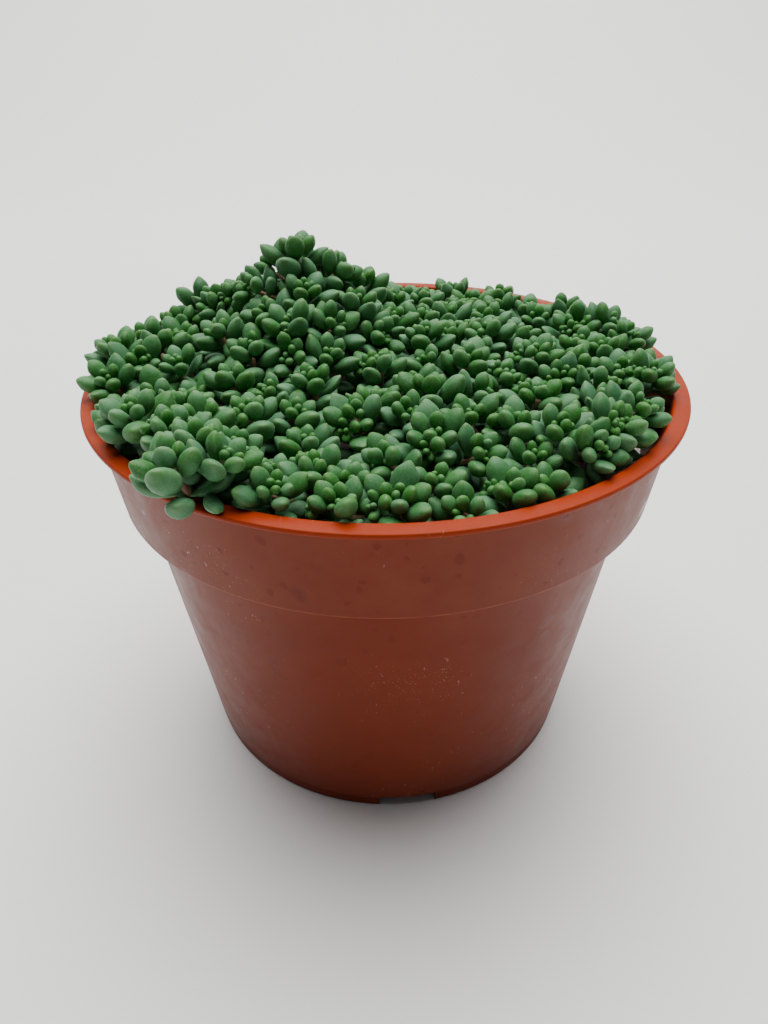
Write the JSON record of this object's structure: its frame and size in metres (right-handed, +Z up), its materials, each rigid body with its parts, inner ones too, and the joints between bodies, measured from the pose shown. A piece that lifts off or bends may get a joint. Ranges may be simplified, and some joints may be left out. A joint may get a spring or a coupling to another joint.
{
  "type": "potted sedum",
  "caption": "Round tapered nursery pot with a collar and lip, filled with potting mix and planted with a close mat of fleshy blue-green sedum shoots.",
  "frame": {"origin": "centre of the underside of the pot's foot ring, on the pot's axis, at floor level", "axes": "+Z up along the pot's axis; -Y faces the viewer, with the foot ring's first notch just left of it; +X to the viewer's right"},
  "size_m": [0.12, 0.12, 0.1069],
  "materials": {
    "pot_plastic": "satin",
    "potting_mix": "crumbly, matte",
    "sedum": "waxy bloom over blue-green"
  },
  "bodies": {
    "root": {"clump_shoot_02": "sedum", "clump_shoot_07": "sedum", "clump_shoot_10": "sedum", "clump_shoot_15": "sedum", "clump_shoot_23": "sedum", "mat_shoot_01": "sedum", "mat_shoot_03": "sedum", "mat_shoot_04": "sedum", "mat_shoot_05": "sedum", "mat_shoot_06": "sedum", "mat_shoot_08": "sedum", "mat_shoot_09": "sedum", "mat_shoot_11": "sedum", "mat_shoot_12": "sedum", "mat_shoot_13": "sedum", "mat_shoot_14": "sedum", "mat_shoot_16": "sedum", "mat_shoot_17": "sedum", "mat_shoot_18": "sedum", "mat_shoot_19": "sedum", "mat_shoot_20": "sedum", "mat_shoot_21": "sedum", "mat_shoot_22": "sedum", "mat_shoot_24": "sedum", "mat_shoot_25": "sedum", "mat_shoot_26": "sedum", "mat_shoot_27": "sedum", "mat_shoot_28": "sedum", "mat_shoot_29": "sedum", "mat_shoot_30": "sedum", "mat_shoot_31": "sedum", "mat_shoot_32": "sedum", "mat_shoot_33": "sedum", "mat_shoot_35": "sedum", "mat_shoot_36": "sedum", "mat_shoot_37": "sedum", "mat_shoot_38": "sedum", "pot": "pot_plastic", "potting_mix": "potting_mix", "rim_shoot_34": "sedum", "rim_shoot_39": "sedum", "rim_shoot_40": "sedum"}
  },
  "joints": []
}
